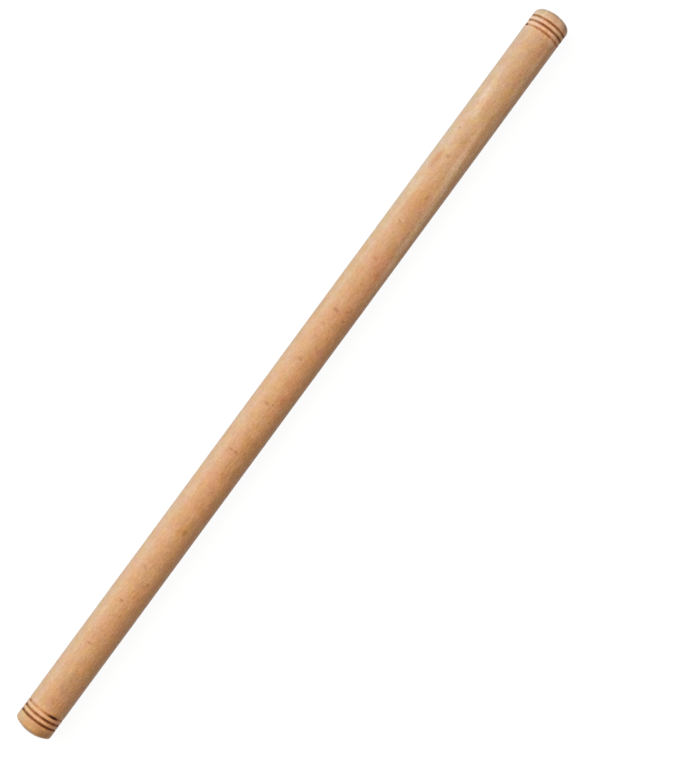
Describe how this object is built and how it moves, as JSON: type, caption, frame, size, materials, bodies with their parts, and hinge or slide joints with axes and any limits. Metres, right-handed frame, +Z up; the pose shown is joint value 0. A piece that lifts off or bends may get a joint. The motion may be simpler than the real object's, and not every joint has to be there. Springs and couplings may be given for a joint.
{
  "type": "rolling pin",
  "caption": "Slim straight wooden rolling pin: a plain turned rod with fine burnt grooves near both gently domed ends.",
  "frame": {"origin": "under the middle of the pin's length, on the line where it lies on the worktop", "axes": "+X along the pin, towards the end whose grooves sit nearer to it; +Z up"},
  "size_m": [0.45, 0.0202, 0.0203],
  "materials": {
    "beech": "satin, sanded and oiled by use"
  },
  "bodies": {
    "root": {"rolling_pin": "beech"}
  },
  "joints": []
}
